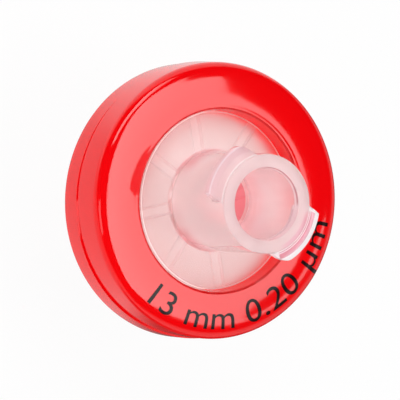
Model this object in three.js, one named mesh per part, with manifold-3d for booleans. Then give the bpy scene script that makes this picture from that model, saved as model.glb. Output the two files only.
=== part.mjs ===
// A small disc syringe filter. Two translucent polypropylene mouldings, the inlet housing and the
// outlet housing, clamp a thin membrane between their plates. A coloured ring is moulded over their
// rims and seals them for good. The inlet is a female Luer lock hub and the outlet a male Luer slip.
//
// Millimetres. +Z runs along the flow axis, from the outlet to the inlet. The origin is the centre
// of the outlet tip's end face. Angles are in degrees, from +X towards +Y.

import * as THREE from 'three';
import { mergeVertices } from 'three/addons/utils/BufferGeometryUtils.js';
import Module from 'manifold-3d';

const wasm = await Module();
wasm.setup();

// ---- Driving dimensions ----

const segments = 64;               // facets round every turned shape
const fitGap = 0.05;               // between one moulding and the next

const luerTaper = 0.06;            // Luer cones: change of diameter for each unit of length

const outletTipRadius = 1.98;      // male Luer, at its end
const outletTipChamfer = 0.15;
const outletConeLength = 7.6;
const outletBoreRadius = 1.05;
const bossStep = 0.692;            // the collar above the cone is this much wider than its base
const bossHeight = 1.4;
const bossChamfer = 0.15;
const plateFillet = 0.25;          // where the hub or the boss meets its plate

const outletPlateThickness = 1.1;
const inletPlateThickness = 1.25;

const chamberRadius = 5.9;         // filtering area
const chamberDepth = 0.25;         // hollow on each side of the membrane
const clampWidth = 0.6;            // rim of the membrane, held between the plates
const membraneThickness = 0.15;
const skirtWall = 0.7;             // wall of the inlet housing round the membrane's edge
const ribWidth = 0.45;
const ribInnerRadius = 1.5;
const ribCount = 8;
const ribPhase = 11;               // direction of the first rib

const hubHeight = 6.6;             // from the inlet plate to the mouth
const hubMouthRadius = 3.0;
const hubDraft = 0.08;             // the hub is this much wider at its base
const hubRimRound = 0.08;
const luerBoreRadius = 2.13;       // female Luer, just below its lead-in
const leadInWidth = 0.09;
const leadInDepth = 0.35;
const hubFloorThickness = 0.7;     // from the inlet plate's face up to the bore's floor
const inletHoleRadius = 0.9;

const lugHeight = 0.9;             // crest and shelf, out from the hub's tube
const lugShelfWidth = 0.45;
const lugRootFront = 0.1;          // depths below the mouth
const lugShelfFront = 0.18;
const lugCrestFront = 0.32;
const lugCrestBack = 0.8;
const lugRootBack = 1.33;
const lugRootStart = 282;          // directions of the first lug's ends, at the tube and at the crest
const lugCrestStart = 300;
const lugCrestEnd = 351;
const lugRootEnd = 357;
const lugCount = 2;

const ringWall = 1.15;             // from the flanges out to the side
const ringFrontStep = 0.05;        // the front band is this much smaller
const ringFillet = 0.6;
const ringWeb = 1.0;               // how far each lip stands out past its plate
const ringLipRadius = 5.64;
const ringLipFlare = 0.22;         // the lip's wall widens by this much from plate to lip
const ringLipRound = 0.15;
const ringFaceDrop = 0.17;         // the crowned front face falls by this much from lip to shoulder
const partingLineDepth = 2.62;     // below the front lip
const partingGroove = 0.06;        // half width and depth of the line

// ---- Sizes that follow from them ----

const luerSlope = luerTaper / 2;   // the taper on the radius
const coneBaseRadius = outletTipRadius + luerSlope * outletConeLength;
const bossRadius = coneBaseRadius + bossStep;
const membraneRadius = chamberRadius + clampWidth;
const skirtRadius = membraneRadius + 2 * fitGap;
const flangeRadius = skirtRadius + skirtWall;
const ringRadius = flangeRadius + fitGap + ringWall;

const bossFace = outletConeLength;
const outletPlateBottom = bossFace + bossHeight;
const outletPlateTop = outletPlateBottom + outletPlateThickness;
const membraneBottom = outletPlateTop + fitGap;
const membraneTop = membraneBottom + membraneThickness;
const inletPlateBottom = membraneTop + fitGap;
const inletPlateTop = inletPlateBottom + inletPlateThickness;
const mouth = inletPlateTop + hubHeight;
const ringFront = inletPlateTop + ringWeb;
const ringBack = outletPlateBottom - ringWeb;

// ---- Shape helpers ----

const radians = THREE.MathUtils.degToRad;

function polar(radius, degrees) {
  return [radius * Math.cos(radians(degrees)), radius * Math.sin(radians(degrees))];
}

// Points of an arc round (x, y), from one direction to another, ends included.
function arc(x, y, radius, fromDegrees, toDegrees, steps) {
  const points = [];
  for (let i = 0; i <= steps; i += 1) {
    const [dx, dy] = polar(radius, fromDegrees + ((toDegrees - fromDegrees) * i) / steps);
    points.push([x + dx, y + dy]);
  }
  return points;
}

// A polygon of [x, y] points as a three.js shape.
function outline(points) {
  return new THREE.Shape(points.map(([x, y]) => new THREE.Vector2(x, y)));
}

// Keeps only the positions, with shared vertices merged.
function welded(geometry) {
  geometry.deleteAttribute('normal');
  geometry.deleteAttribute('uv');
  return mergeVertices(geometry, 1e-5);
}

// Turns a profile of [radius, height] points, listed upwards on the outside, about the Z axis.
// A profile that leaves the axis closes on itself.
function turned(profile) {
  const closed = profile[0][0] > 0 ? [...profile, profile[0]] : profile;
  const points = closed.map(([r, z]) => new THREE.Vector2(r, z));
  const geometry = new THREE.LatheGeometry(points, segments);
  geometry.rotateX(Math.PI / 2);
  return welded(geometry);
}

function toSolid(geometry) {
  return new wasm.Manifold(new wasm.Mesh({
    numProp: 3,
    vertProperties: new Float32Array(geometry.attributes.position.array),
    triVerts: new Uint32Array(geometry.index.array),
  }));
}

function toGeometry(solid) {
  const mesh = solid.getMesh();
  const geometry = new THREE.BufferGeometry();
  geometry.setAttribute('position', new THREE.BufferAttribute(mesh.vertProperties, 3));
  geometry.setIndex(new THREE.BufferAttribute(mesh.triVerts, 1));
  return geometry;
}

// Straight radial ribs, evenly spaced, from one height to another.
function ribs(bottom, top) {
  const length = chamberRadius + fitGap - ribInnerRadius;
  const solids = [];
  for (let i = 0; i < ribCount; i += 1) {
    const bar = new THREE.BoxGeometry(length, ribWidth, top - bottom);
    bar.translate(ribInnerRadius + length / 2, 0, (bottom + top) / 2);
    bar.rotateZ(radians(ribPhase + (360 * i) / ribCount));
    solids.push(toSolid(welded(bar)));
  }
  return solids;
}

function named(name, geometry, color, roughness) {
  const material = new THREE.MeshStandardMaterial({ color, roughness, metalness: 0 });
  const mesh = new THREE.Mesh(geometry, material);
  mesh.name = name;
  return mesh;
}

// ---- Overmoulded ring ----
// A C-shaped channel round the two flanges, with a crowned front face and a parting line on its side.

function overmouldedRing() {
  const windowRadius = ringLipRadius - ringLipFlare;
  const channelRadius = flangeRadius + fitGap;
  const frontRadius = ringRadius - ringFrontStep;
  const partingLine = ringFront - partingLineDepth;

  const crownPower = 2.25;
  const crownStart = ringLipRadius + ringLipRound;
  const crownSteps = 6;
  const slopeAtShoulder = (crownPower * ringFaceDrop) / (frontRadius - ringFillet - crownStart);
  const shoulderTilt = Math.atan(slopeAtShoulder);
  const shoulder = frontRadius - ringFillet + ringFillet * Math.sin(shoulderTilt);
  const crown = [];
  for (let i = 0; i <= crownSteps; i += 1) {
    const share = i / crownSteps;
    const radius = crownStart + (shoulder - crownStart) * share;
    crown.push([radius, ringFront - ringFaceDrop * share ** crownPower]);
  }
  const filletCentre = ringFront - ringFaceDrop - ringFillet * Math.cos(shoulderTilt);
  const filletStart = 90 - THREE.MathUtils.radToDeg(shoulderTilt);

  const insideFront = [
    [windowRadius, inletPlateTop + fitGap],
    ...arc(crownStart, ringFront - ringLipRound, ringLipRound, 180, 90, 3),
  ];
  const frontAndSide = [
    ...crown.slice(1, -1),
    ...arc(frontRadius - ringFillet, filletCentre, ringFillet, filletStart, 0, 5),
    [frontRadius, partingLine + partingGroove],
    [frontRadius - partingGroove, partingLine],
    [ringRadius, partingLine - partingGroove],
  ];
  const back = [
    ...arc(ringRadius - ringFillet, ringBack + ringFillet, ringFillet, 0, -90, 5),
    ...arc(crownStart, ringBack + ringLipRound, ringLipRound, 270, 180, 3),
    [windowRadius, outletPlateBottom - fitGap],
  ];
  const channel = [
    [channelRadius, outletPlateBottom - fitGap],
    [channelRadius, inletPlateTop + fitGap],
  ];
  const section = [...insideFront, ...frontAndSide, ...back, ...channel];
  return turned(section.reverse());
}

// ---- Inlet housing ----
// Plate, female Luer lock hub, its two lugs and the ribs under the plate are one moulding.

function lugs() {
  const buried = (hubMouthRadius + luerBoreRadius + leadInWidth) / 2;   // the middle of the tube's wall
  const crest = hubMouthRadius + lugHeight;
  const section = turned([
    [buried, mouth - lugRootBack],
    [hubMouthRadius, mouth - lugRootBack],
    [crest, mouth - lugCrestBack],
    [crest, mouth - lugCrestFront],
    [hubMouthRadius + lugShelfWidth, mouth - lugShelfFront],
    [hubMouthRadius, mouth - lugRootFront],
    [buried, mouth - lugRootFront],
  ]);
  const endOn = outline([
    polar(buried, lugRootStart),
    polar(hubMouthRadius, lugRootStart),
    ...arc(0, 0, crest + fitGap, lugCrestStart, lugCrestEnd, 8),
    polar(hubMouthRadius, lugRootEnd),
    polar(buried, lugRootEnd),
    polar(buried, (lugRootStart + lugRootEnd) / 2),
  ]);
  const block = new THREE.ExtrudeGeometry(endOn, { depth: hubHeight, bevelEnabled: false });
  block.translate(0, 0, inletPlateTop);
  const first = toSolid(section).intersect(toSolid(welded(block)));
  const all = [];
  for (let i = 0; i < lugCount; i += 1) {
    all.push(first.rotate([0, 0, (360 * i) / lugCount]));
  }
  return all;
}

function inletHousing() {
  const boreFloor = inletPlateTop + hubFloorThickness;
  const leadInBottom = mouth - leadInDepth;
  const chamberTop = inletPlateBottom + chamberDepth;
  const hubFloorRadius = luerBoreRadius - luerSlope * (leadInBottom - boreFloor);
  const underside = [
    [inletHoleRadius, chamberTop],
    [chamberRadius, chamberTop],
    [chamberRadius, inletPlateBottom],
    [skirtRadius, inletPlateBottom],
    [skirtRadius, outletPlateTop + fitGap],
    [flangeRadius, outletPlateTop + fitGap],
    [flangeRadius, inletPlateTop],
  ];
  const filletX = hubMouthRadius + hubDraft + plateFillet;
  const hub = [
    ...arc(filletX, inletPlateTop + plateFillet, plateFillet, 270, 180, 3),
    ...arc(hubMouthRadius - hubRimRound, mouth - hubRimRound, hubRimRound, 0, 90, 2),
  ];
  const bore = [
    [luerBoreRadius + leadInWidth, mouth],
    [luerBoreRadius, leadInBottom],
    [hubFloorRadius, boreFloor],
    [inletHoleRadius, boreFloor],
  ];
  let body = toSolid(turned([...underside, ...hub, ...bore]));
  for (const rib of ribs(inletPlateBottom + fitGap, chamberTop + fitGap)) {
    body = body.add(rib);
  }
  for (const lug of lugs()) {
    body = body.add(lug);
  }
  return toGeometry(body);
}

// ---- Membrane ----

function membrane() {
  return turned([
    [0, membraneBottom],
    [membraneRadius, membraneBottom],
    [membraneRadius, membraneTop],
    [0, membraneTop],
  ]);
}

// ---- Outlet housing ----
// Plate, membrane supports, boss and male Luer cone are one moulding.

function outletHousing() {
  const chamberBottom = outletPlateTop - chamberDepth;
  const coneAboveChamfer = outletTipRadius + luerSlope * outletTipChamfer;
  const filletX = bossRadius + plateFillet;
  const cone = [
    [outletBoreRadius, 0],
    [outletTipRadius - outletTipChamfer, 0],
    [coneAboveChamfer, outletTipChamfer],
    [coneBaseRadius, bossFace],
    [bossRadius - bossChamfer, bossFace],
    [bossRadius, bossFace + bossChamfer],
  ];
  const plate = [
    ...arc(filletX, outletPlateBottom - plateFillet, plateFillet, 180, 90, 3),
    [flangeRadius, outletPlateBottom],
    [flangeRadius, outletPlateTop],
    [chamberRadius, outletPlateTop],
    [chamberRadius, chamberBottom],
    [outletBoreRadius, chamberBottom],
  ];
  let body = toSolid(turned([...cone, ...plate]));
  for (const rib of ribs(chamberBottom - fitGap, outletPlateTop - fitGap)) {
    body = body.add(rib);
  }
  return toGeometry(body);
}

// ---- Assembly ----

const syringeFilter = new THREE.Group();
syringeFilter.add(
  named('overmoulded_ring', overmouldedRing(), 0xee0508, 0.15),
  named('inlet_housing', inletHousing(), 0xf3e8e8, 0.35),
  named('membrane', membrane(), 0xfafafa, 0.9),
  named('outlet_housing', outletHousing(), 0xf3e8e8, 0.35),
);

export default syringeFilter;
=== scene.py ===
# A small disc syringe filter, standing on its outlet tip. The shapes are worked in millimetres, and
# MM turns them into the frame's metres. Angles are in degrees round the flow axis, from +X.

import math
import bpy
import bmesh
import numpy as np
from mathutils import Matrix, Vector


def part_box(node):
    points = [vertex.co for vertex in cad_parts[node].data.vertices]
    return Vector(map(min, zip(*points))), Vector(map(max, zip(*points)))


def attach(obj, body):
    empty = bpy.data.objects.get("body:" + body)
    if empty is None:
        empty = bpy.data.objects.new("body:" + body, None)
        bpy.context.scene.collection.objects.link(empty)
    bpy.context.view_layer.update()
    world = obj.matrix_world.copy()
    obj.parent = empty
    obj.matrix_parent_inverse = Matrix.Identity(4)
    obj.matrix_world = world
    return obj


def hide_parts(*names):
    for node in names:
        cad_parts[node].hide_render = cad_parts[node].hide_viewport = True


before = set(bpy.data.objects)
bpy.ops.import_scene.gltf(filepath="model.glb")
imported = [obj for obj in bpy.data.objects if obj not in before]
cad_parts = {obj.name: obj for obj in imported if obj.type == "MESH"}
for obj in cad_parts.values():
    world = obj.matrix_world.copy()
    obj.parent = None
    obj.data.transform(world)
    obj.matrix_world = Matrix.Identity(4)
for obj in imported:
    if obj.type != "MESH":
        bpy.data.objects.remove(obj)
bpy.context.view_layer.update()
MM = 0.001


# ---- Outlet housing ----
# One injection moulding in natural polypropylene, milky and glossy: the rear plate, the ribs that
# hold the membrane off it, a short boss and the male Luer slip cone with the flow bore through it.
# The red ring is moulded round its rim.


def rounded(corners, steps=4):
    """The closed section through corners of (radius, height, rounding), with an arc at each rounding."""
    points = []
    for i, (r, z, rounding) in enumerate(corners):
        corner = Vector((r, z))
        if rounding == 0:
            points.append((r, z))
            continue
        back = (Vector(corners[i - 1][:2]) - corner).normalized()
        ahead = (Vector(corners[(i + 1) % len(corners)][:2]) - corner).normalized()
        half = back.angle(ahead) / 2
        centre = corner + (back + ahead).normalized() * rounding / math.sin(half)
        start = corner + back * rounding / math.tan(half) - centre
        end = corner + ahead * rounding / math.tan(half) - centre
        sweep = start.angle(end)
        for k in range(steps + 1):
            share = k / steps
            spoke = start * math.sin((1 - share) * sweep) + end * math.sin(share * sweep)
            points.append(tuple(centre + spoke / math.sin(sweep)))
    return points


def grid_mesh(name, radius, height, angle, crease=35):
    """A closed mesh of quads. Each array has a row per point of a section, and a column per angle."""
    rows, columns = radius.shape
    x = radius * np.cos(np.radians(angle))
    y = radius * np.sin(np.radians(angle))
    points = np.stack([x, y, height], axis=2).reshape(-1, 3) * MM
    faces = []
    for i in range(rows):
        above = (i + 1) % rows
        for j in range(columns):
            beside = (j + 1) % columns
            corners = [(i, j), (i, beside), (above, beside), (above, j)]
            faces.append([row * columns + column for row, column in corners])
    mesh = bpy.data.meshes.new(name)
    mesh.from_pydata(points.tolist(), [], faces)
    return shown(name, mesh, crease)


def shown(name, mesh, crease):
    """Smooth-shades a mesh, keeps its edges crisp above the crease angle, and puts it in the scene."""
    mesh.shade_smooth()
    mesh.set_sharp_from_angle(angle=math.radians(crease))
    piece = bpy.data.objects.new(name, mesh)
    bpy.context.scene.collection.objects.link(piece)
    return piece


COLUMNS = 240
column_angles = 360 * np.arange(COLUMNS) / COLUMNS


def turned(section):
    """Radius, height and angle arrays for a section turned about the flow axis."""
    r, z = np.array(section).T
    around = np.ones(COLUMNS)
    return np.outer(r, around), np.outer(z, around), np.tile(column_angles, (len(section), 1))


CHAMBER_RADIUS = 5.9
CHAMBER_DEPTH = 0.25
FIT_GAP = 0.05
RIB_WIDTH = 0.45
RIB_INNER_RADIUS = 1.5
RIB_COUNT = 8
RIB_PHASE = 11
RIB_DRAFT = 0.15
RIB_END = 0.03
rib_rows = [4.5, 3, 2, RIB_INNER_RADIUS + RIB_END, RIB_INNER_RADIUS]


def raise_ribs(radius, height, angle, floor, top):
    """Lifts the ribs out of the chamber's floor, whose columns move sideways to their straight sides."""
    on_floor = np.isclose(height[:, 0], floor) & (radius[:, 0] < CHAMBER_RADIUS + 0.01)
    per_rib = COLUMNS // RIB_COUNT
    first = round(RIB_PHASE / 360 * COLUMNS)
    place = (np.arange(COLUMNS) - first + per_rib // 2) % per_rib - per_rib // 2
    nearest_rib = np.round((np.arange(COLUMNS) - first - place) / per_rib)
    on_top = np.abs(place) <= 1
    sector = 180 / RIB_COUNT
    known_places = [-per_rib / 2, -2, -1, 0, 1, 2, per_rib / 2]
    for row in np.flatnonzero(on_floor):
        r = radius[row, 0]
        half_top = math.degrees(math.asin(RIB_WIDTH / 2 / r))
        half_foot = math.degrees(math.asin((RIB_WIDTH / 2 + RIB_DRAFT) / r))
        known_angles = [-sector, -half_foot, -half_top, 0, half_top, half_foot, sector]
        angle[row] = RIB_PHASE + nearest_rib * 2 * sector + np.interp(place, known_places, known_angles)
        if r > RIB_INNER_RADIUS:
            height[row] += on_top * (top - floor)


_, outlet_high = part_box("outlet_housing")
plate_top = outlet_high.z / MM
flange_radius = outlet_high.x / MM
OUTLET_PLATE = 1.1
PLATE_FILLET = 0.25
BOSS_HEIGHT = 1.4
TIP_RADIUS = 1.98
LUER_SLOPE = 0.03
FLOW_BORE = 1.05
BOSS_STEP = 0.692
plate_bottom = plate_top - OUTLET_PLATE
boss_face = plate_bottom - BOSS_HEIGHT
cone_base = TIP_RADIUS + LUER_SLOPE * boss_face
boss_radius = cone_base + BOSS_STEP
chamber_floor = plate_top - CHAMBER_DEPTH
outlet_section = rounded([
    (FLOW_BORE, 0, 0.08),
    (TIP_RADIUS, 0, 0.15),
    (cone_base, boss_face, 0.1),
    (boss_radius, boss_face, 0.15),
    (boss_radius, plate_bottom, PLATE_FILLET),
    (flange_radius, plate_bottom, 0.05),
    (flange_radius, plate_top, 0.05),
    (CHAMBER_RADIUS, plate_top, 0),
    (CHAMBER_RADIUS, chamber_floor, 0),
    *[(r, chamber_floor, 0) for r in rib_rows],
    (FLOW_BORE, chamber_floor, 0.05),
])
outlet_grid = turned(outlet_section)
raise_ribs(*outlet_grid, chamber_floor, plate_top - FIT_GAP)
outlet = grid_mesh("outlet_moulding", *outlet_grid)
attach(outlet, "root")
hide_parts("outlet_housing")


def new_material(name, colour, roughness):
    """A Principled material, its node tree and its shader."""
    material = bpy.data.materials.new(name)
    material.use_nodes = True
    tree = material.node_tree
    shader = tree.nodes["Principled BSDF"]
    shader.inputs["Base Color"].default_value = (*colour, 1)
    shader.inputs["Roughness"].default_value = roughness
    return material, tree, shader


def noise(tree, size, detail=2):
    """Smooth noise in the object's own space, with lumps about size millimetres across."""
    place = tree.nodes.new("ShaderNodeTexCoord")
    texture = tree.nodes.new("ShaderNodeTexNoise")
    texture.inputs["Scale"].default_value = 1 / (size * MM)
    texture.inputs["Detail"].default_value = detail
    tree.links.new(place.outputs["Object"], texture.inputs["Vector"])
    return texture.outputs["Fac"]


def between(tree, factor, low, high):
    """A number that follows a 0 to 1 factor between two limits."""
    node = tree.nodes.new("ShaderNodeMapRange")
    node.inputs["To Min"].default_value = low
    node.inputs["To Max"].default_value = high
    tree.links.new(factor, node.inputs["Value"])
    return node.outputs["Result"]


def relief(tree, factor, depth, shader):
    """Bumps the surface by a depth in millimetres."""
    bump = tree.nodes.new("ShaderNodeBump")
    bump.inputs["Distance"].default_value = depth * MM
    tree.links.new(factor, bump.inputs["Height"])
    tree.links.new(bump.outputs["Normal"], shader.inputs["Normal"])


def tinted(tree, factor, pale, deep, shader):
    """A base colour that drifts between two tints."""
    mix = tree.nodes.new("ShaderNodeMix")
    mix.data_type = "RGBA"
    mix.inputs["A"].default_value = (*pale, 1)
    mix.inputs["B"].default_value = (*deep, 1)
    tree.links.new(factor, mix.inputs["Factor"])
    tree.links.new(mix.outputs["Result"], shader.inputs["Base Color"])


def from_axis(tree, aside_x=0, aside_y=0):
    """Distance from the flow axis, or from a line a few millimetres beside it."""
    place = tree.nodes.new("ShaderNodeTexCoord")
    moved = tree.nodes.new("ShaderNodeVectorMath")
    moved.operation = "SUBTRACT"
    moved.inputs[1].default_value = (aside_x * MM, aside_y * MM, 0)
    flat = tree.nodes.new("ShaderNodeVectorMath")
    flat.operation = "MULTIPLY"
    flat.inputs[1].default_value = (1, 1, 0)
    reach = tree.nodes.new("ShaderNodeVectorMath")
    reach.operation = "LENGTH"
    tree.links.new(place.outputs["Object"], moved.inputs[0])
    tree.links.new(moved.outputs["Vector"], flat.inputs[0])
    tree.links.new(flat.outputs["Vector"], reach.inputs[0])
    return reach.outputs["Value"]


def height_above(tree):
    """Height, in the object's own space."""
    place = tree.nodes.new("ShaderNodeTexCoord")
    split = tree.nodes.new("ShaderNodeSeparateXYZ")
    tree.links.new(place.outputs["Object"], split.inputs["Vector"])
    return split.outputs["Z"]


def rises(tree, value, start, end):
    """A smooth step from 0 to 1 as a length goes from one number of millimetres to another."""
    node = tree.nodes.new("ShaderNodeMapRange")
    node.interpolation_type = "SMOOTHSTEP"
    node.inputs["From Min"].default_value = start * MM
    node.inputs["From Max"].default_value = end * MM
    tree.links.new(value, node.inputs["Value"])
    return node.outputs["Result"]


def both(tree, first, second):
    """The product of two factors."""
    node = tree.nodes.new("ShaderNodeMath")
    node.operation = "MULTIPLY"
    tree.links.new(first, node.inputs[0])
    tree.links.new(second, node.inputs[1])
    return node.outputs["Value"]


def stained(tree, shader, factor, colour):
    """Mixes one more colour into a base colour that already has nodes."""
    mix = tree.nodes.new("ShaderNodeMix")
    mix.data_type = "RGBA"
    tree.links.new(factor, mix.inputs["Factor"])
    tree.links.new(shader.inputs["Base Color"].links[0].from_socket, mix.inputs["A"])
    mix.inputs["B"].default_value = (*colour, 1)
    tree.links.new(mix.outputs["Result"], shader.inputs["Base Color"])


def passes_lamps(tree, shader, tint):
    """Lets the light of the lamps through a translucent plastic, tinted by it."""
    open_way = tree.nodes.new("ShaderNodeBsdfTransparent")
    open_way.inputs["Color"].default_value = tint
    ray = tree.nodes.new("ShaderNodeLightPath")
    choice = tree.nodes.new("ShaderNodeMixShader")
    tree.links.new(ray.outputs["Is Shadow Ray"], choice.inputs["Fac"])
    tree.links.new(shader.outputs["BSDF"], choice.inputs[1])
    tree.links.new(open_way.outputs["BSDF"], choice.inputs[2])
    tree.links.new(choice.outputs["Shader"], tree.nodes["Material Output"].inputs["Surface"])


def band(tree, value, start, end, edge):
    """1 while a length is between two numbers of millimetres, and 0 past soft edges either side."""
    return both(tree, rises(tree, value, start - edge, start), rises(tree, value, end + edge, end))


def most_of(tree, factors):
    """The largest of several factors."""
    largest = factors[0]
    for factor in factors[1:]:
        node = tree.nodes.new("ShaderNodeMath")
        node.operation = "MAXIMUM"
        tree.links.new(largest, node.inputs[0])
        tree.links.new(factor, node.inputs[1])
        largest = node.outputs["Value"]
    return largest


INLET_PLATE = 1.25
HUB_HEIGHT = 6.6
HUB_RADIUS = 3.0
HUB_FLOOR = 0.7
BORE_RADIUS = 2.13
LUG_HEIGHT = 0.9
inlet_low, inlet_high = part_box("inlet_housing")
mouth = inlet_high.z / MM
inlet_face = mouth - HUB_HEIGHT
inlet_underside = inlet_face - INLET_PLATE
chamber_roof = inlet_underside + CHAMBER_DEPTH
bore_floor = inlet_face + HUB_FLOOR
lug_crest = HUB_RADIUS + LUG_HEIGHT

PAINTED_GLOW_CENTRE = (-0.35, -0.18)
FAR_LUG_SIDE = (-2, 2)
NEAR_LUG_MIDDLE = (2.7, -2.25)
LAMP_TINT = (0.93, 0.9, 0.9, 1)
milky, tree, shader = new_material("natural_polypropylene", (0.88, 0.79, 0.78), 0.15)
shader.inputs["IOR"].default_value = 1.4
cloud = noise(tree, 1.6, 5)
tinted(tree, cloud, (0.88, 0.81, 0.8), (0.78, 0.69, 0.68), shader)
out = from_axis(tree)
height = height_above(tree)

# Parts of the mouldings, each as a number that is 1 there and 0 elsewhere. First the plates, with painted
# red light where the ring's red would glow through them, a pale painted highlight round the edge, an
# off-centre painted highlight inside the lip, and the ribs, whose walls are painted pale as light lines,
# and the spout.
# Painted red light: the plates' rim is tinted red, strongest off-centre, as if lit by light through the
# ring.
painted_red_glow = rises(tree, from_axis(tree, *PAINTED_GLOW_CENTRE), 5.2, 5.9)
on_face = rises(tree, height, inlet_face - 0.1, inlet_face - 0.05)
# Painted highlight: a pale line round the edge of the front plate.
painted_edge_highlight = both(tree, on_face, band(tree, out, 5.36, 5.42, 0.02))
# Painted highlight: a thin near-white arc on the plate inside the lip, off-centre so it lies on the -X
# side.
painted_lip_highlight = both(tree, on_face, band(tree, from_axis(tree, 0.57), 5.48, 5.53, 0.02))
face_level = band(tree, height, inlet_face - 0.05, inlet_face + 0.03, 0.02)
plate_face = both(tree, face_level, rises(tree, out, HUB_RADIUS + 0.1, HUB_RADIUS + 0.2))
under_plate = band(tree, height, chamber_roof - 0.3, chamber_roof, 0.1)
in_chamber = rises(tree, out, CHAMBER_RADIUS - 0.1, CHAMBER_RADIUS - 0.2)
rib_tops = both(tree, rises(tree, height, chamber_roof - 0.12, chamber_roof - 0.17), in_chamber)
# Painted light: the ribs' walls are tinted near-white so that they show as light lines.
rib_walls = both(tree, band(tree, height, chamber_roof - 0.17, chamber_roof - 0.03, 0.02), in_chamber)
spout = rises(tree, height, plate_bottom, plate_bottom - 0.3)

# The hub's tube, outside and inside, up to the face of its mouth. Its foot, the bore, one side of the
# lead-in's edge and the bore's floor carry painted shade and painted red light.
past_foot = rises(tree, height, inlet_face + 0.2, inlet_face + 0.6)
hub_wall = both(tree, past_foot, rises(tree, out, HUB_RADIUS - 0.1, HUB_RADIUS - 0.05))
by_hub = band(tree, out, HUB_RADIUS - 0.05, HUB_RADIUS + 0.12, 0.05)
hub_sides = both(tree, by_hub, rises(tree, from_axis(tree, -3.5), 1.5, 2.9))
# Painted shade: a deeper pink at the foot of the hub's sides, except on the -X side.
painted_foot_shade = both(tree, on_face, rises(tree, height, inlet_face + 2.4, inlet_face + 0.8))
mouth_face = rises(tree, height, mouth - 0.06, mouth - 0.02)
by_bore = rises(tree, out, BORE_RADIUS + 0.17, BORE_RADIUS + 0.12)
# Painted shade: the bore's wall is tinted a deeper pink than the hub's outside.
bore_wall = both(tree, rises(tree, height, bore_floor + 0.01, bore_floor + 0.04), by_bore)
lead_in = both(tree, rises(tree, height, mouth - 0.4, mouth - 0.3), by_bore)
lead_edge = both(tree, band(tree, height, mouth - 0.16, mouth - 0.07, 0.03), by_bore)
# Painted shade: a dark red band on the lead-in's edge, on the +X +Y side.
shaded_edge = both(tree, lead_edge, rises(tree, from_axis(tree, 1.5, 1.5), 1.9, 1.5))
floor_level = band(tree, height, bore_floor - 0.05, bore_floor + 0.01, 0.01)
# Painted red light on the floor of the bore.
bore_end = both(tree, floor_level, rises(tree, out, BORE_RADIUS - 0.18, BORE_RADIUS - 0.2))

# The two lugs. The near one faces the lamps, and its rim, ends, root and a line at its foot carry painted
# highlights; the far one's rim has a fainter painted highlight.
in_lug = band(tree, height, mouth - 1.4, mouth - 0.04, 0.02)
past_tube = rises(tree, out, HUB_RADIUS + 0.05, HUB_RADIUS + 0.12)
near_side = both(tree, in_lug, rises(tree, from_axis(tree, *FAR_LUG_SIDE), 3.5, 5.5))
far_side = both(tree, in_lug, rises(tree, from_axis(tree, *FAR_LUG_SIDE), 5.5, 3.5))
near_lug = both(tree, near_side, past_tube)
far_lug = both(tree, far_side, past_tube)
# Painted highlights: pale tints on the far lug's rim and on the near lug's rim, ends, foot line and root.
far_rim = both(tree, far_lug, rises(tree, out, lug_crest - 0.12, lug_crest - 0.06))
lug_rim = both(tree, near_lug, rises(tree, out, lug_crest - 0.4, lug_crest - 0.3))
lug_tips = both(tree, near_lug, rises(tree, from_axis(tree, *NEAR_LUG_MIDDLE), 1.8, 1.9))
lug_foot_line = both(tree, near_lug, band(tree, out, HUB_RADIUS + 0.16, HUB_RADIUS + 0.21, 0.03))
lug_root = both(tree, near_side, band(tree, out, HUB_RADIUS + 0.03, HUB_RADIUS + 0.1, 0.01))
# Painted light: the mouth's rim beside the near lug is tinted a deeper pink.
by_near_lug = rises(tree, from_axis(tree, *NEAR_LUG_MIDDLE), 1.9, 1.2)
mouth_rim = both(tree, mouth_face, band(tree, out, HUB_RADIUS - 0.25, HUB_RADIUS, 0.06))

# The tint of each part. Where two of them overlap, the later one covers the earlier.
for part, tint in [
    (painted_red_glow, (1.0, 0.27, 0.27)),
    (painted_edge_highlight, (0.97, 0.9, 0.9)),
    (painted_lip_highlight, (1, 0.99, 0.98)),
    (hub_wall, (0.97, 0.93, 0.92)),
    (both(tree, hub_sides, painted_foot_shade), (0.95, 0.6, 0.64)),
    (bore_wall, (0.9, 0.7, 0.72)),
    (far_lug, (0.88, 0.66, 0.69)),
    (near_lug, (0.87, 0.43, 0.52)),
    (lug_rim, (0.96, 0.95, 0.96)),
    (lug_tips, (0.96, 0.95, 0.96)),
    (lug_foot_line, (0.97, 0.9, 0.93)),
    (far_rim, (0.92, 0.82, 0.85)),
    (lug_root, (0.96, 0.93, 0.93)),
    (mouth_face, (0.83, 0.64, 0.65)),
    (both(tree, mouth_rim, by_near_lug), (0.82, 0.5, 0.56)),
    (shaded_edge, (0.6, 0.27, 0.3)),
    (bore_end, (0.76, 0.11, 0.14)),
    (rib_tops, (0.87, 0.8, 0.79)),
    (spout, (0.95, 0.91, 0.9)),
    (rib_walls, (0.98, 0.93, 0.93)),
]:
    stained(tree, shader, part, tint)

# The plastic is clearest in its flat walls. Edges, corners and thick places are cloudy, and so are the
# painted highlights, so that their pale tint shows.
bright = most_of(tree, [lug_rim, lug_tips, lug_foot_line, painted_lip_highlight])
cloudy = between(tree, most_of(tree, [lug_root, mouth_face, lead_in, painted_edge_highlight]), 0, 0.58)
faint = between(tree, most_of(tree, [far_lug, hub_wall, bore_end, spout]), 0, 0.25)
deep = between(tree, under_plate, 0, 0.72)
haze = most_of(tree, [bright, cloudy, faint, deep])
tree.links.new(between(tree, haze, 0.78, 0.3), shader.inputs["Transmission Weight"])
finish = most_of(tree, [between(tree, cloud, 0.12, 0.18), between(tree, plate_face, 0, 0.235)])
tree.links.new(finish, shader.inputs["Roughness"])
relief(tree, noise(tree, 1.5, 0), 0.0005, shader)
passes_lamps(tree, shader, LAMP_TINT)
outlet.data.materials.append(milky)


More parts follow.
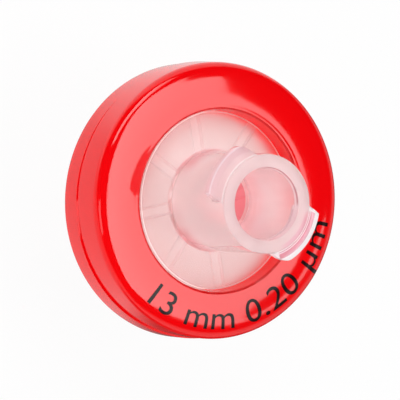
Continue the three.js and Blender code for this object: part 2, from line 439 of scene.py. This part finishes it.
# ---- Membrane ----
# A disc of white porous film, 0.15 mm thick. Its rim is pinched between the two housings, and the
# ribs on either side keep the rest of it flat.

membrane_low, membrane_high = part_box("membrane")
membrane_radius = membrane_high.x / MM
film_bottom = membrane_low.z / MM
film_top = membrane_high.z / MM
film_middle = (film_top + film_bottom) / 2
film_mesh = bpy.data.meshes.new("filter_film")
work = bmesh.new()
bmesh.ops.create_cone(
    work, cap_ends=True, segments=COLUMNS // 2, radius1=membrane_radius * MM, radius2=membrane_radius * MM,
    depth=(film_top - film_bottom) * MM, matrix=Matrix.Translation((0, 0, film_middle * MM)),
)
work.to_mesh(film_mesh)
work.free()
film = shown("filter_film", film_mesh, 35)
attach(film, "root")
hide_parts("membrane")
film_white, tree, shader = new_material("porous_film", (0.92, 0.91, 0.9), 0.9)
pores = noise(tree, 0.06, 6)
tinted(tree, pores, (0.95, 0.94, 0.93), (0.86, 0.85, 0.84), shader)
# Painted red light round the film's rim, strongest off-centre, as if the ring's red glowed on it.
stained(tree, shader, rises(tree, from_axis(tree, *PAINTED_GLOW_CENTRE), 4.85, 6.0), (0.95, 0.1, 0.1))
relief(tree, pores, 0.01, shader)
film.data.materials.append(film_white)


# ---- Inlet housing ----
# One injection moulding in the same milky polypropylene: the front plate with ribs underneath, and
# the female Luer hub with its tapered bore. Two ramped lugs on the hub's mouth take the lock thread
# of a syringe.

skirt_bottom = inlet_low.z / MM
SKIRT_WALL = 0.7
HUB_DRAFT = 0.08
HUB_FOOT_ROUND = 0.08
LEAD_IN_WIDTH = 0.09
LEAD_IN_DEPTH = 0.35
INLET_HOLE = 0.9
LUG_SHOULDER = 0.45
LUG_ROOM = 1.5
lead_in_foot = mouth - LEAD_IN_DEPTH
floor_radius = BORE_RADIUS - LUER_SLOPE * (lead_in_foot - bore_floor)
skirt_radius = flange_radius - SKIRT_WALL


def hub_radius_at(z):
    """The hub's outside, which narrows slightly from the plate to the mouth."""
    return HUB_RADIUS + HUB_DRAFT * (mouth - z) / HUB_HEIGHT


lug_foot = mouth - LUG_ROOM
before_lug = rounded([
    (INLET_HOLE, chamber_roof, 0.05),
    *[(r, chamber_roof, 0) for r in reversed(rib_rows)],
    (CHAMBER_RADIUS, chamber_roof, 0),
    (CHAMBER_RADIUS, inlet_underside, 0),
    (skirt_radius, inlet_underside, 0),
    (skirt_radius, skirt_bottom, 0.03),
    (flange_radius, skirt_bottom, 0.05),
    (flange_radius, inlet_face, 0.05),
    (HUB_RADIUS + HUB_DRAFT, inlet_face, HUB_FOOT_ROUND),
    (hub_radius_at(lug_foot), lug_foot, 0),
    (BORE_RADIUS, lug_foot, 0),
])[:-1]

# Up the back, crest and face of a lug, as a height above the tube.
lug_line = rounded([
    (-0.6, lug_foot, 0),
    (0, mouth - 1.36, 0.1),
    (LUG_HEIGHT, mouth - 0.8, 0.06),
    (LUG_HEIGHT, mouth - 0.32, 0.06),
    (LUG_SHOULDER, mouth - 0.18, 0.05),
    (0.05, mouth - 0.1, 0.03),
    (-0.6, mouth, 0),
])
lug_section = [point for point in lug_line if point[0] > -0.01]
after_lug = rounded([
    (HUB_RADIUS - 0.4, mouth - 0.5, 0),
    (HUB_RADIUS, mouth - 0.5, 0),
    (HUB_RADIUS, mouth, 0.07),
    (BORE_RADIUS + LEAD_IN_WIDTH, mouth, 0.03),
    (BORE_RADIUS, lead_in_foot, 0.3),
    (floor_radius, bore_floor, 0.04),
    (INLET_HOLE, bore_floor, 0.06),
])[2:]
tube_by_lug = [(hub_radius_at(z), z) for _, z in lug_section]
inlet_section = before_lug + tube_by_lug + after_lug
inlet_grid = turned(inlet_section)
raise_ribs(*inlet_grid, chamber_roof, inlet_underside + FIT_GAP)

LUG_START, LUG_FULL, LUG_DROP, LUG_END = 282, 300, 351, 359
LUG_ROUNDNESS = 1.6
in_half_turn = (column_angles - LUG_START) % 180 + LUG_START
climb = np.clip((in_half_turn - LUG_START) / (LUG_FULL - LUG_START), 0, 1)
fall = np.clip((LUG_END - in_half_turn) / (LUG_END - LUG_DROP), 0, 1)
lug_rise = (1 - (1 - climb) ** LUG_ROUNDNESS) * fall
lug_rows = slice(len(before_lug), len(before_lug) + len(lug_section))
inlet_grid[0][lug_rows] += np.outer([rise for rise, _ in lug_section], lug_rise)

inlet = grid_mesh("inlet_moulding", *inlet_grid)
inlet.data.materials.append(milky)
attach(inlet, "root")
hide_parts("inlet_housing")


# ---- Overmoulded ring ----
# Glossy red polypropylene, shot round the rims of both housings so that they can't come apart. Its
# front face is slightly crowned inside a round lip. The mould's rear half stood a little to one side,
# which shows along the parting line.

ring_low, ring_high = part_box("overmoulded_ring")
ring_front = ring_high.z / MM
ring_back = ring_low.z / MM
ring_radius = ring_high.x / MM
FRONT_STEP = 0.06
REAR_STEP = 0.1
LIP_RADIUS = 5.56
LIP_FLARE = 0.14
LIP_ROUND = 0.15
CROWN_START = 5.79
RING_FILLET = 0.6
FACE_DROP = 0.17
CROWN_POWER = 2.25
CROWN_STEPS = 16
SINK_START, SINK_END, SINK_DEPTH = 5.73, 5.91, 0.0048
SINK_STEPS = 8
PARTING_DEPTH = 2.62
GROOVE = 0.03
MOULD_SHIFT = 0.15
MOULD_SHIFT_ANGLE = 225
front_radius = ring_radius - FRONT_STEP
rear_radius = ring_radius - REAR_STEP
parting = ring_front - PARTING_DEPTH
lip_centre = LIP_RADIUS + LIP_ROUND
crown_width = front_radius - RING_FILLET - CROWN_START
shoulder_tilt = math.atan(CROWN_POWER * FACE_DROP / crown_width)
crown_end = CROWN_START + crown_width + RING_FILLET * math.sin(shoulder_tilt)


def crown_height(r):
    """Height of the ring's front face at a radius, with the faint sink mark behind its lip."""
    share = np.clip((r - CROWN_START) / (crown_end - CROWN_START), 0, 1)
    sunk = np.clip((r - SINK_START) / (SINK_END - SINK_START), 0, 1)
    return ring_front - FACE_DROP * share**CROWN_POWER - SINK_DEPTH * (3 - 2 * sunk) * sunk**2


def arc(r, z, radius, start, end, steps=10):
    """Points of an arc about (r, z), from one direction to another."""
    turns = np.radians(np.linspace(start, end, steps + 1))
    return [(r + radius * math.cos(a), z + radius * math.sin(a)) for a in turns]


channel_radius = flange_radius + FIT_GAP
window_radius = LIP_RADIUS - LIP_FLARE
shoulder_height = ring_front - FACE_DROP - SINK_DEPTH - RING_FILLET * math.cos(shoulder_tilt)
front_channel = inlet_face + FIT_GAP
back_channel = plate_bottom - FIT_GAP
over_crown = np.linspace(crown_end, SINK_END, CROWN_STEPS + 1)[1:-1]
over_sink = np.linspace(SINK_END, SINK_START, SINK_STEPS + 1)
ring_section = [
    (channel_radius, front_channel),
    (channel_radius, back_channel),
    (window_radius, back_channel),
    *arc(lip_centre, ring_back + LIP_ROUND, LIP_ROUND, 180, 270, 5),
    *arc(rear_radius - RING_FILLET, ring_back + RING_FILLET, RING_FILLET, -90, 0),
    (rear_radius, parting - 5 * GROOVE),
    (rear_radius, parting - 3 * GROOVE),
    (rear_radius - 2 * GROOVE, parting - GROOVE),
    (front_radius - GROOVE, parting),
    (front_radius, parting + GROOVE),
    (front_radius, parting + 3 * GROOVE),
    *arc(front_radius - RING_FILLET, shoulder_height, RING_FILLET, 0, 90 - math.degrees(shoulder_tilt)),
    *[(r, float(crown_height(r))) for r in [*over_crown, *over_sink]],
    *arc(lip_centre, ring_front - LIP_ROUND, LIP_ROUND, 90, 180, 5),
    (window_radius, front_channel),
]
ring_radii, ring_heights, ring_angles = turned(ring_section)
rear_half = (ring_heights < parting) & (ring_radii > rear_radius - 2 * RING_FILLET)
mismatch = MOULD_SHIFT * np.cos(np.radians(ring_angles - MOULD_SHIFT_ANGLE))
ring_radii += np.where(rear_half, mismatch, 0)
ring = grid_mesh("red_ring", ring_radii, ring_heights, ring_angles, crease=30)
red, tree, shader = new_material("red_polypropylene", (0.92, 0.002, 0.004), 0.06)
shader.inputs["IOR"].default_value = 1.55
swirl = noise(tree, 3)
tinted(tree, swirl, (0.93, 0.002, 0.004), (0.9, 0.001, 0.003), shader)
tree.links.new(between(tree, swirl, 0.05, 0.09), shader.inputs["Roughness"])
relief(tree, noise(tree, 1.2), 0.002, shader)
# Painted shade: a darker red on the top of the lip, inside the crest of its rounding.
lip_top = rises(tree, height_above(tree), ring_front - 0.12, ring_front - 0.1)
painted_lip_shade = both(tree, lip_top, rises(tree, from_axis(tree), lip_centre, lip_centre - 0.04))
stained(tree, shader, painted_lip_shade, (0.66, 0.003, 0.004))
passes_lamps(tree, shader, (0.85, 0.05, 0.05, 1))
ring.data.materials.append(red)
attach(ring, "root")
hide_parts("overmoulded_ring")


# ---- Size print ----
# Black ink, pad-printed on the ring's front face with the tops of the figures towards the hub. It
# gives a plain disc size and pore size.

CAP_TOP_RADIUS = 6.4
BASELINE_RADIUS = 7.83
INK_THICKNESS = 0.012
INK_SINK = 0.01
LONGEST_EDGE = 0.15
FINEST_CUTS = 4


def printed_word(name, words, start, end):
    """Text along the ring's face between two angles, as a thin closed film of ink."""
    curve = bpy.data.curves.new(name, "FONT")
    curve.body = words
    curve.extrude = 0.5
    curve.resolution_u = 6
    text = bpy.data.objects.new(name + "_text", curve)
    bpy.context.scene.collection.objects.link(text)
    mesh = bpy.data.meshes.new_from_object(text)
    bpy.data.objects.remove(text)
    work = bmesh.new()
    work.from_mesh(mesh)
    bmesh.ops.remove_doubles(work, verts=work.verts, dist=1e-5)
    bmesh.ops.triangulate(work, faces=work.faces)
    left = min(v.co.x for v in work.verts)
    right = max(v.co.x for v in work.verts)
    cap_height = max(v.co.y for v in work.verts)
    stretch = (end - start) / (right - left)
    size = (BASELINE_RADIUS - CAP_TOP_RADIUS) / cap_height
    for v in work.verts:
        v.co.x = math.radians(start + (v.co.x - left) * stretch) * BASELINE_RADIUS
        v.co.y = v.co.y * size
    for _ in range(FINEST_CUTS):
        spans = [(e, (e.verts[0].co.xy - e.verts[1].co.xy).length) for e in work.edges]
        long_edges = [e for e, span in spans if span > LONGEST_EDGE]
        if not long_edges:
            break
        bmesh.ops.subdivide_edges(work, edges=long_edges, cuts=1)
        bmesh.ops.triangulate(work, faces=work.faces)
    for v in work.verts:
        angle = v.co.x / BASELINE_RADIUS
        r = BASELINE_RADIUS - v.co.y
        lift = INK_THICKNESS if v.co.z > 0 else -INK_SINK
        v.co = Vector((r * math.cos(angle), r * math.sin(angle), crown_height(r) + lift)) * MM
    work.to_mesh(mesh)
    work.free()
    piece = shown(name, mesh, 35)
    piece.data.materials.clear()
    piece.data.materials.append(ink)
    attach(piece, "root")


ink, tree, shader = new_material("black_ink", (0.009, 0.001, 0.001), 0.14)
shader.inputs["Specular IOR Level"].default_value = 0.2
printed_word("disc_size_print", "13 mm", 231, 279)
printed_word("pore_size_print", "0.20 µm", 286, 350)


# ---- Bench top ----
# A plain white sheet under the filter. It looks white, with the filter's soft shadow on it. In the gloss
# on the filter's sides it shows a painted glow instead, brighter towards +Y, with a painted dark patch on
# the +X -Y side.

FLOOR_RADIUS = 65
floor_mesh = bpy.data.meshes.new("bench_top")
work = bmesh.new()
bmesh.ops.create_circle(work, cap_ends=True, radius=FLOOR_RADIUS * MM, segments=96)
work.to_mesh(floor_mesh)
work.free()
floor = bpy.data.objects.new("bench_top", floor_mesh)
bpy.context.scene.collection.objects.link(floor)
white, tree, shader = new_material("white_sheet", (0.9, 0.9, 0.9), 0.9)
shader.inputs["Specular IOR Level"].default_value = 0


def slope_along(tree, direction, start, end):
    """A smooth step from 0 to 1 along a direction on the sheet, between two places in millimetres."""
    place = tree.nodes.new("ShaderNodeTexCoord")
    along = tree.nodes.new("ShaderNodeVectorMath")
    along.operation = "DOT_PRODUCT"
    along.inputs[1].default_value = direction
    tree.links.new(place.outputs["Object"], along.inputs[0])
    return rises(tree, along.outputs["Value"], start, end)


# Painted light for glossy rays: a glow that rises towards +Y and fades to almost nothing on the +X -Y
# side.
painted_bright_back = between(tree, slope_along(tree, (0, 1, 0), 8, 14), 0.72, 1.2)
painted_dark_side = between(tree, slope_along(tree, (0.7, -0.7, 0), 10, 4.5), 0.05, 1.03)
mirrored = tree.nodes.new("ShaderNodeEmission")
tree.links.new(both(tree, painted_bright_back, painted_dark_side), mirrored.inputs["Strength"])
glow = tree.nodes.new("ShaderNodeEmission")
path = tree.nodes.new("ShaderNodeLightPath")
in_gloss = tree.nodes.new("ShaderNodeMixShader")
tree.links.new(between(tree, path.outputs["Is Glossy Ray"], 0, 0.95), in_gloss.inputs["Fac"])
tree.links.new(shader.outputs["BSDF"], in_gloss.inputs[1])
tree.links.new(mirrored.outputs["Emission"], in_gloss.inputs[2])
in_view = tree.nodes.new("ShaderNodeMixShader")
tree.links.new(between(tree, path.outputs["Is Camera Ray"], 0, 0.94), in_view.inputs["Fac"])
tree.links.new(in_gloss.outputs["Shader"], in_view.inputs[1])
tree.links.new(glow.outputs["Emission"], in_view.inputs[2])
tree.links.new(in_view.outputs["Shader"], tree.nodes["Material Output"].inputs["Surface"])
floor.data.materials.append(white)


# ---- Studio light ----
# A soft box with cut corners hangs over the filter on the +X side, with a strip of light past its edge.
# Lamps at +Y and -X and two weak fill lamps light the sides, and the white walls of the booth show
# faintly in the ring's edge.

LAMP_DISTANCE = 1.0
FILL_LAMP_SIZE = 0.8
ROOM_LIGHT = 0.38
WHITE = (1, 1, 1, 1)


def towards(x, y):
    """A unit vector from a direction given as degrees from straight above, along X and Y."""
    polar = math.radians(math.hypot(x, y))
    azimuth = math.atan2(y, x)
    aside = math.sin(polar)
    return Vector((aside * math.cos(azimuth), aside * math.sin(azimuth), math.cos(polar)))


def hung_panel(name, corners, strong, weak, low_x=0, high_x=1):
    """A glowing panel a metre away, whose corners are directions. Its light may fade along X."""
    mesh = bpy.data.meshes.new(name)
    points = [towards(x, y) * LAMP_DISTANCE for x, y in corners]
    mesh.from_pydata(points, [], [tuple(range(len(points)))])
    panel = bpy.data.objects.new(name, mesh)
    bpy.context.scene.collection.objects.link(panel)
    panel.visible_camera = False
    material = bpy.data.materials.new(name)
    material.use_nodes = True
    tree = material.node_tree
    glow = tree.nodes.new("ShaderNodeEmission")
    place = tree.nodes.new("ShaderNodeTexCoord")
    split = tree.nodes.new("ShaderNodeSeparateXYZ")
    fade = tree.nodes.new("ShaderNodeMapRange")
    fade.inputs["From Min"].default_value = low_x
    fade.inputs["From Max"].default_value = high_x
    fade.inputs["To Min"].default_value = strong
    fade.inputs["To Max"].default_value = weak
    tree.links.new(place.outputs["Object"], split.inputs["Vector"])
    tree.links.new(split.outputs["X"], fade.inputs["Value"])
    tree.links.new(fade.outputs["Result"], glow.inputs["Strength"])
    tree.links.new(glow.outputs["Emission"], tree.nodes["Material Output"].inputs["Surface"])
    mesh.materials.append(material)


hung_panel("soft_box", [
    (9.5, -18), (20, -16.6), (30, -18), (34.5, -17.2), (33.3, -14), (33, -9), (35.3, -6.5), (35, -1.9),
    (33.2, -1), (32.3, 0), (30.9, 2.3), (30, 5.5), (30.1, 12), (29.8, 13.9), (24, 13.9), (23.5, 16.5),
    (9.5, 16.5),
], 4.5, 3.1, 0.2, 0.54)
hung_panel("soft_box_edge", [
    (34.5, -17), (37, -16.2), (38.8, -15.3), (41.2, -13.7), (42.8, -11.9), (45.5, -8.3), (46.6, -4),
    (45, -4), (43, -7.2), (40.8, -11), (38.8, -13), (36.5, -14.4), (34.5, -15),
], 3, 3)
hung_panel("back_lamp", [
    (14, 42), (9, 31), (1, 28.5), (-7, 29), (-13, 25), (-15, 20), (-34, 28), (-30, 37), (-23, 45),
    (-14, 50), (-4, 54), (7, 51),
], 1.5, 4.8, 0.24, -0.08)
hung_panel("side_lamp", [(-39, -1), (-61, -2), (-55, -26), (-36, -17)], 1.7, 1.7)


def fill_lamp(name, x, y, energy):
    """A wide soft lamp that lifts the shade without showing in any gloss."""
    lamp = bpy.data.lights.new(name, "AREA")
    lamp.shape = "SQUARE"
    lamp.size = FILL_LAMP_SIZE
    lamp.energy = energy
    fill = bpy.data.objects.new(name, lamp)
    fill.location = towards(x, y) * LAMP_DISTANCE
    fill.rotation_mode = "QUATERNION"
    fill.rotation_quaternion = fill.location.to_track_quat("Z", "Y")
    fill.visible_camera = False
    fill.visible_glossy = False
    bpy.context.scene.collection.objects.link(fill)


fill_lamp("left_fill", -85, 0, 3.4)
fill_lamp("front_fill", -20, -83, 4.0)

world = bpy.data.worlds.new("studio")
bpy.context.scene.world = world
world.use_nodes = True
tree = world.node_tree
room = tree.nodes["Background"]
room.inputs["Color"].default_value = WHITE
room.inputs["Strength"].default_value = ROOM_LIGHT
backdrop = tree.nodes.new("ShaderNodeBackground")
backdrop.inputs["Color"].default_value = WHITE
backdrop.inputs["Strength"].default_value = 1
walls = tree.nodes.new("ShaderNodeBackground")
walls.inputs["Color"].default_value = WHITE


def wall(centre, edge, full, strength):
    """A round patch of light in the world, faded between two angles from its centre."""
    direction = tree.nodes.new("ShaderNodeTexCoord")
    lean = tree.nodes.new("ShaderNodeVectorMath")
    lean.operation = "DOT_PRODUCT"
    lean.inputs[1].default_value = towards(*centre)
    patch = tree.nodes.new("ShaderNodeMapRange")
    patch.interpolation_type = "SMOOTHSTEP"
    patch.inputs["From Min"].default_value = math.cos(math.radians(edge))
    patch.inputs["From Max"].default_value = math.cos(math.radians(full))
    patch.inputs["To Max"].default_value = strength
    tree.links.new(direction.outputs["Generated"], lean.inputs[0])
    tree.links.new(lean.outputs["Value"], patch.inputs["Value"])
    return patch.outputs["Result"]


front_wall = wall((93, -84), 85, 65, 0.75)
back_wall = wall((28, 106), 52, 35, 1.1)
left_wall = wall((-92, -77), 60, 38, 0.65)
ground = wall((0, 180), 95, 68, 1)
tree.links.new(most_of(tree, [front_wall, back_wall, left_wall, ground]), walls.inputs["Strength"])
path = tree.nodes.new("ShaderNodeLightPath")
in_gloss = tree.nodes.new("ShaderNodeMixShader")
tree.links.new(path.outputs["Is Glossy Ray"], in_gloss.inputs["Fac"])
tree.links.new(room.outputs["Background"], in_gloss.inputs[1])
tree.links.new(walls.outputs["Background"], in_gloss.inputs[2])
seen = most_of(tree, [path.outputs["Is Camera Ray"], path.outputs["Is Transmission Ray"]])
in_view = tree.nodes.new("ShaderNodeMixShader")
tree.links.new(seen, in_view.inputs["Fac"])
tree.links.new(in_gloss.outputs["Shader"], in_view.inputs[1])
tree.links.new(backdrop.outputs["Background"], in_view.inputs[2])
tree.links.new(in_view.outputs["Shader"], tree.nodes["World Output"].inputs["Surface"])
bpy.context.scene.view_settings.view_transform = "Standard"


# ---- Camera ----
# A long lens that looks down on the filter from the side away from the soft box, thirty degrees off
# the flow axis.

SENSOR_WIDTH = 36
FOCAL_LENGTH = 607.2
CAMERA_DISTANCE = 0.40929
camera = bpy.data.objects.new("camera", bpy.data.cameras.new("camera"))
bpy.context.scene.collection.objects.link(camera)
bpy.context.scene.camera = camera
camera.data.sensor_width = SENSOR_WIDTH
camera.data.lens = FOCAL_LENGTH
aim = Vector((-1.433 * MM, 0.05 * MM, ring_high.z))
back = Vector((-0.494642, 0.028271, 0.868637)).normalized()
up = back.cross(Vector((1, 0, 0))).normalized()
right = up.cross(back)
camera.rotation_mode = "QUATERNION"
camera.rotation_quaternion = Matrix((right, up, back)).transposed().to_quaternion()
camera.location = aim + back * CAMERA_DISTANCE
